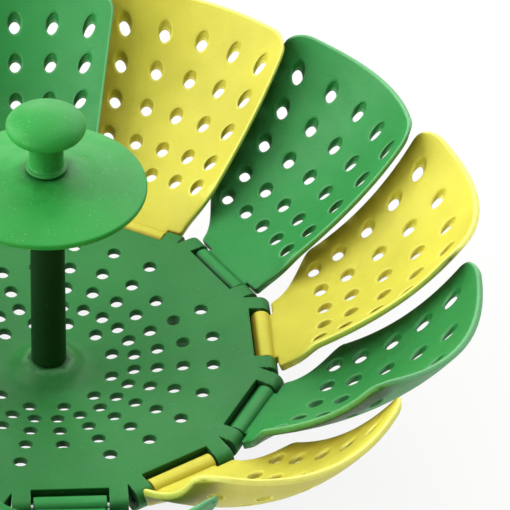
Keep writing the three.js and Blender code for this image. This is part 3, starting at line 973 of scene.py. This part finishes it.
def make_knob():
    seat = disc_face(STEM_RADIUS) + SEAT_GAP
    stem_end = POST_TOP - STEM_REACH
    under = KNOB_HEIGHT - KNOB_HALF_HEIGHT
    collar, fillet, blend = COLLAR_ROUND, NECK_FILLET, KNOB_BLEND
    neck_start = (NECK_RADIUS + fillet, seat + COLLAR_HEIGHT + fillet)
    neck_end = (NECK_RADIUS + blend, under - blend * KNOB_BLEND_SHIFT)
    profile = [(0, stem_end), (STEM_RADIUS, stem_end), (STEM_RADIUS, seat)]
    profile += [(COLLAR_RADIUS - COLLAR_INSET, seat)]
    profile += arc((COLLAR_RADIUS - collar, seat + collar), collar, *COLLAR_ARC, COLLAR_STEPS)
    profile += arc(neck_start, fillet, 270, 180, FILLET_STEPS)
    profile += arc(neck_end, blend, *KNOB_BLEND_ARC, BLEND_STEPS)
    low = math.degrees(math.asin(KNOB_UNDERSIDE))
    for i in range(KNOB_STEPS + 1):
        angle = math.radians(low + (90 - low) * i / KNOB_STEPS)
        height = KNOB_HEIGHT + KNOB_HALF_HEIGHT * math.sin(angle)
        profile.append((KNOB_RADIUS * math.cos(angle), height))
    return turned("knob", profile, WIDE_SIDES)


def make_screw():
    head_top = SPIGOT_END - SEAT_GAP
    low = head_top - SCREW_HEAD_HEIGHT
    profile = [(0, low)]
    for angle in quarter_angles(SCREW_STEPS)[1:]:
        crown = (SCREW_HEAD_HEIGHT - SCREW_RIM) * math.cos(angle)
        profile.append((SCREW_HEAD_RADIUS * math.sin(angle), head_top - SCREW_RIM - crown))
    profile += [
        (SCREW_HEAD_RADIUS, head_top),
        (SCREW_SHANK_RADIUS, head_top),
        (SCREW_SHANK_RADIUS, SPIGOT_END + SCREW_GRIP),
        (0, SPIGOT_END + SCREW_GRIP),
    ]
    screw = turned("screw", profile, FITTING_SIDES)
    length, width, depth = SCREW_SLOT
    levels = ((low - SLOT_OVERCUT, length), (low + depth, length * SLOT_TAPER))
    corners = [(x, y, z) for z, reach in levels for y in (-width, width) for x in (-reach, reach)]
    slots = []
    for turn in (0.0, math.pi / 2):
        slot = make_object("slot", corners, BOX_FACES)
        slot.data.transform(Matrix.Rotation(turn, 4, "Z"))
        slots.append(slot)
    return cut(screw, slots)


# Materials

def node(tree, kind, values=None, **settings):
    made = tree.nodes.new(kind)
    for name, value in settings.items():
        setattr(made, name, value)
    for name, value in (values or {}).items():
        made.inputs[name].default_value = value
    return made


def noise(tree, place, scale, detail):
    values = {"Scale": scale, "Detail": detail, "Roughness": NOISE_ROUGHNESS}
    made = node(tree, "ShaderNodeTexNoise", values)
    tree.links.new(place, made.inputs["Vector"])
    return made.outputs["Fac"]


def spread(tree, value, low, high, start=NOISE_RANGE[0], end=NOISE_RANGE[1]):
    """Goes from low to high while the value goes from start to end."""
    made = node(tree, "ShaderNodeMapRange", {
        "From Min": start, "From Max": end, "To Min": low, "To Max": high,
    })
    tree.links.new(value, made.inputs["Value"])
    return made.outputs["Result"]


def product(tree, first, second):
    made = node(tree, "ShaderNodeMath", operation="MULTIPLY")
    tree.links.new(first, made.inputs[0])
    tree.links.new(second, made.inputs[1])
    return made.outputs["Value"]


def mixed(tree, factor, first, second):
    made = node(tree, "ShaderNodeMix", data_type="RGBA")
    for name, value in (("Factor", factor), ("A", first), ("B", second)):
        kind = "VALUE" if name == "Factor" else "RGBA"
        socket = next(s for s in made.inputs if s.name == name and s.type == kind)
        if isinstance(value, bpy.types.NodeSocket):
            tree.links.new(value, socket)
        else:
            socket.default_value = value
    return next(s for s in made.outputs if s.type == "RGBA")


def emboss(tree, shader, height, strength, distance):
    bump = node(tree, "ShaderNodeBump", {"Strength": strength, "Distance": distance})
    tree.links.new(height, bump.inputs["Height"])
    tree.links.new(bump.outputs["Normal"], shader.inputs["Normal"])


def new_material(name):
    material = bpy.data.materials.new(name)
    material.use_nodes = True
    return material, material.node_tree


def plastic(name, colour, roughness, gloss, wear_and_highlight=0.8, rims=0.0, grain=0.12, specks=0.12,
            painted_shade=0.75, recess=None):
    """Moulded plastic with a slight drift of tone, a fine matt grain, pale dust and painted light.

    wear and residue say how strong the paler edges, partly rubbed and partly painted highlight,
    and the painted shade in recesses are. With rims, the paling is kept to what lies further than
    that from the object's origin. recess is the painted shade's colour, where it isn't a darker
    shade of the colour.
    """
    material, tree = new_material(name)
    shader = tree.nodes["Principled BSDF"]
    shader.inputs["IOR"].default_value = PLASTIC_IOR
    shader.inputs["Specular IOR Level"].default_value = gloss
    place = node(tree, "ShaderNodeTexCoord").outputs["Object"]
    base = (*colour, 1.0)
    deep = (*[c * DRIFT_SHADE for c in colour], 1.0)
    # light and pale: the tone of the paler edges, partly rubbed plastic, partly painted highlight
    light = [min(WORN_AND_LIT_LIMIT, c * WORN_AND_LIT_GAIN) for c in colour]
    pale = (*[c * (1 - WORN_AND_LIT_WHITE) + WORN_AND_LIT_WHITE for c in light], 1.0)
    # dark: the tone of the painted shade in recesses
    dark = (*(recess or [c * RECESS_SHADE for c in colour]), 1.0)
    drift = spread(tree, noise(tree, place, DRIFT_SCALE, DRIFT_DETAIL), 0.0, 1.0)
    tone = mixed(tree, drift, deep, base)
    # Paler edges that stand out: partly rubbed plastic, partly painted highlight where light
    # catches them
    edge = node(tree, "ShaderNodeAttribute", attribute_name="stand_out").outputs["Fac"]
    if rims:
        far = node(tree, "ShaderNodeVectorMath", operation="LENGTH")
        tree.links.new(place, far.inputs[0])
        beyond = spread(tree, far.outputs["Value"], 0.0, 1.0, rims, rims + RIM_FADE)
        worn_and_lit = product(tree, spread(tree, edge, 0.0, wear_and_highlight, *RIM_WEAR_AND_HIGHLIGHT), beyond)
    else:
        worn_and_lit = spread(tree, edge, 0.0, wear_and_highlight, *EDGE_WEAR_AND_HIGHLIGHT)
    tone = mixed(tree, worn_and_lit, tone, pale)
    # Painted shade: darker where nearby surfaces close a point in, as in holes, corners and under
    # overlapping petals
    closed = node(tree, "ShaderNodeAttribute", attribute_name="closed_in").outputs["Fac"]
    tone = mixed(tree, spread(tree, closed, 0.0, painted_shade, *RECESS_RANGE), tone, dark)
    dust = spread(tree, noise(tree, place, DUST_SCALE, DUST_DETAIL), 0.0, specks, *DUST_RANGE)
    tone = mixed(tree, dust, tone, DUST_COLOUR)
    tree.links.new(tone, shader.inputs["Base Color"])
    smoother, rougher = (roughness + change for change in SHEEN_RANGE)
    sheen = spread(tree, noise(tree, place, SHEEN_SCALE, SHEEN_DETAIL), smoother, rougher)
    tree.links.new(sheen, shader.inputs["Roughness"])
    texture = node(tree, "ShaderNodeMath", operation="MULTIPLY_ADD")
    texture.inputs[1].default_value = RIPPLE_SHARE
    tree.links.new(noise(tree, place, RIPPLE_SCALE, RIPPLE_DETAIL), texture.inputs[0])
    tree.links.new(noise(tree, place, GRAIN_SCALE, GRAIN_DETAIL), texture.inputs[2])
    emboss(tree, shader, texture.outputs["Value"], grain, PLASTIC_RELIEF)
    return material


def drawn_steel(name):
    """Wire and screw steel with fine drawing lines and a few dull patches."""
    material, tree = new_material(name)
    shader = tree.nodes["Principled BSDF"]
    shader.inputs["Metallic"].default_value = 1.0
    place = node(tree, "ShaderNodeTexCoord").outputs["Object"]
    patches = spread(tree, noise(tree, place, PATCH_SCALE, PATCH_DETAIL), 0.0, 1.0)
    tree.links.new(mixed(tree, patches, DULL_STEEL, CLEAR_STEEL), shader.inputs["Base Color"])
    sheen = noise(tree, place, STEEL_SHEEN_SCALE, STEEL_SHEEN_DETAIL)
    tree.links.new(spread(tree, sheen, *STEEL_ROUGHNESS), shader.inputs["Roughness"])
    lines = noise(tree, place, DRAWN_SCALE, DRAWN_DETAIL)
    emboss(tree, shader, lines, DRAWN_STRENGTH, STEEL_RELIEF)
    return material


PLATE_GREEN = plastic("plate_green_plastic", (0.028, 0.205, 0.047), 0.5, 0.22)
# The post's green is the plate's green made darker: a shaded copy, painted shade.
SHADED_POST_GREEN = plastic("shaded_post_green_plastic", (0.018, 0.085, 0.024), 0.5, 0.06, wear_and_highlight=0.1, specks=0.05)
BRIGHT_GREEN = plastic("bright_green_plastic", (0.028, 0.33, 0.05), 0.42, 0.22,
                       specks=0.25, painted_shade=0.8)
PETAL_GREEN = plastic("petal_green_plastic", (0.028, 0.275, 0.06), 0.45, 0.25,
                      painted_shade=0.9, **PETAL_SURFACE)
# The yellow's recess tone is a dark brown painted shade, as where a neighbour petal overlaps it.
YELLOW = plastic("yellow_plastic", (0.73, 0.67, 0.078), 0.45, 0.2,
                 recess=(0.38, 0.26, 0.015), **PETAL_SURFACE)
STEEL = drawn_steel("drawn_steel")
PETAL_LOOKS = ((YELLOW, "yellow_plastic"), (PETAL_GREEN, "petal_green_plastic"))


# Assembly

def dress(piece, name, body, material, slot, *nodes):
    piece.name = name
    piece.data.name = name
    piece.data.materials.clear()
    piece.data.materials.append(material)
    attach(piece, body)
    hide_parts(*nodes)
    return piece


plate = dress(make_plate(), "perforated_plate", "root", PLATE_GREEN, "green_plastic", "base_plate")

petals = []
petal_pattern = smooth(make_petal())
pin_pattern = smooth(make_pin())
for i in range(PETALS):
    number = f"{i + 1:02d}"
    material, slot = PETAL_LOOKS[i % len(PETAL_LOOKS)]
    petal = copy_piece(petal_pattern, "petal", hinge_matrix(i))
    petals.append(dress(petal, f"spoon_petal_{number}", f"petal_body_{number}", material, slot,
                        f"petal_{number}"))
    pin = copy_piece(pin_pattern, "pin", hinge_matrix(i))
    dress(pin, f"steel_pin_{number}", "root", STEEL, "steel", f"hinge_pin_{number}")
bpy.data.objects.remove(petal_pattern)
bpy.data.objects.remove(pin_pattern)

feet = []
foot_pattern = smooth(make_foot())
for i in range(LEGS):
    x, y = polar(LEG_CIRCLE * MM, leg_angle(i))
    foot = copy_piece(foot_pattern, "foot", Matrix.Translation((x, y, 0)))
    feet.append(dress(foot, f"tapered_foot_{i + 1}", "root", PLATE_GREEN, "green_plastic",
                      f"foot_{i + 1}"))
bpy.data.objects.remove(foot_pattern)

post = dress(smooth(make_post()), "turned_post", "root", SHADED_POST_GREEN, "green_plastic", "centre_post")
dress(smooth(make_screw()), "cross_screw", "root", STEEL, "steel", "post_screw")
disc = dress(smooth(make_disc()), "domed_disc", "root", BRIGHT_GREEN, "bright_green_plastic",
             "shield_disc")
knob = dress(smooth(make_knob()), "mushroom_knob", "root", BRIGHT_GREEN, "bright_green_plastic",
             "knob")

# How closed in each point is, for the painted shade in recesses and under overlapping petals
mark_recesses([disc, knob, plate, *petals, *feet, post], [
    (petals[0], petals[1:]), (feet[0], feet[1:]), (plate, []), (post, []), (disc, []), (knob, []),
])


# Floor, light and camera

def seen_rays(tree):
    """1 for the rays that show the background: from the camera, mirrored or through glass."""
    path = node(tree, "ShaderNodeLightPath")
    straight = node(tree, "ShaderNodeMath", operation="MAXIMUM")
    tree.links.new(path.outputs["Is Camera Ray"], straight.inputs[0])
    tree.links.new(path.outputs["Is Glossy Ray"], straight.inputs[1])
    every = node(tree, "ShaderNodeMath", operation="MAXIMUM")
    tree.links.new(straight.outputs["Value"], every.inputs[0])
    tree.links.new(path.outputs["Is Transmission Ray"], every.inputs[1])
    return every.outputs["Value"]


def make_floor():
    size = FLOOR_REACH
    corners = [(-size, -size, 0), (size, -size, 0), (size, size, 0), (-size, size, 0)]
    floor = make_object("floor", corners, [(0, 1, 2, 3)])
    material, tree = new_material("white_floor")
    tree.nodes.clear()
    share = node(tree, "ShaderNodeMath", operation="MULTIPLY")
    share.inputs[1].default_value = FLOOR_GLOW_SHARE
    tree.links.new(seen_rays(tree), share.inputs[0])
    diffuse = node(tree, "ShaderNodeBsdfDiffuse", {"Color": FLOOR_COLOUR})
    glow = node(tree, "ShaderNodeEmission", {"Color": WHITE, "Strength": 1.0})
    mix = node(tree, "ShaderNodeMixShader")
    tree.links.new(share.outputs["Value"], mix.inputs["Fac"])
    tree.links.new(diffuse.outputs["BSDF"], mix.inputs[1])
    tree.links.new(glow.outputs["Emission"], mix.inputs[2])
    output = node(tree, "ShaderNodeOutputMaterial")
    tree.links.new(mix.outputs["Shader"], output.inputs["Surface"])
    floor.data.materials.append(material)


def make_world():
    world = bpy.data.worlds.new("studio")
    bpy.context.scene.world = world
    world.use_nodes = True
    tree = world.node_tree
    tree.nodes.clear()
    dim = node(tree, "ShaderNodeBackground", {"Color": WHITE, "Strength": WORLD_STRENGTH})
    white = node(tree, "ShaderNodeBackground", {"Color": WHITE, "Strength": 1.0})
    mix = node(tree, "ShaderNodeMixShader")
    tree.links.new(seen_rays(tree), mix.inputs["Fac"])
    tree.links.new(dim.outputs["Background"], mix.inputs[1])
    tree.links.new(white.outputs["Background"], mix.inputs[2])
    output = node(tree, "ShaderNodeOutputWorld")
    tree.links.new(mix.outputs["Shader"], output.inputs["Surface"])


def towards(azimuth, elevation, distance):
    """A place around the basket, seen from the camera's right, counter-clockwise, in degrees."""
    a = math.radians(azimuth) + CAMERA_TURN
    e = math.radians(elevation)
    x, y = distance * math.cos(a) * math.cos(e), distance * math.sin(a) * math.cos(e)
    return (x, y, distance * math.sin(e))


def add_lamp(name, azimuth, elevation, power):
    place = towards(azimuth, elevation, LAMP_DISTANCE)
    data = bpy.data.lights.new(name, "AREA")
    data.shape = "RECTANGLE"
    data.size, data.size_y = SOFTBOX
    data.energy = power
    lamp = bpy.data.objects.new(name, data)
    bpy.context.scene.collection.objects.link(lamp)
    lamp.location = place
    lamp.rotation_mode = "QUATERNION"
    lamp.rotation_quaternion = (Vector(LAMP_TARGET) - Vector(place)).to_track_quat("-Z", "Y")


def add_camera():
    data = bpy.data.cameras.new("camera")
    data.lens = CAMERA_LENS
    data.sensor_width = CAMERA_SENSOR
    data.clip_start, data.clip_end = CAMERA_CLIP
    camera = bpy.data.objects.new("camera", data)
    bpy.context.scene.collection.objects.link(camera)
    turn = Matrix.Rotation(CAMERA_TURN, 3, "Z")
    tilt = Matrix.Rotation(math.pi / 2 - CAMERA_ELEVATION, 3, "X")
    roll = Matrix.Rotation(CAMERA_ROLL, 3, "Z")
    camera.rotation_mode = "QUATERNION"
    camera.rotation_quaternion = (turn @ tilt @ roll).to_quaternion()
    camera.location = [c * MM for c in CAMERA_PLACE]
    bpy.context.scene.camera = camera


make_floor()
make_world()
for lamp in LAMPS:
    add_lamp(*lamp)
add_camera()
bpy.context.scene.view_settings.view_transform = "Standard"
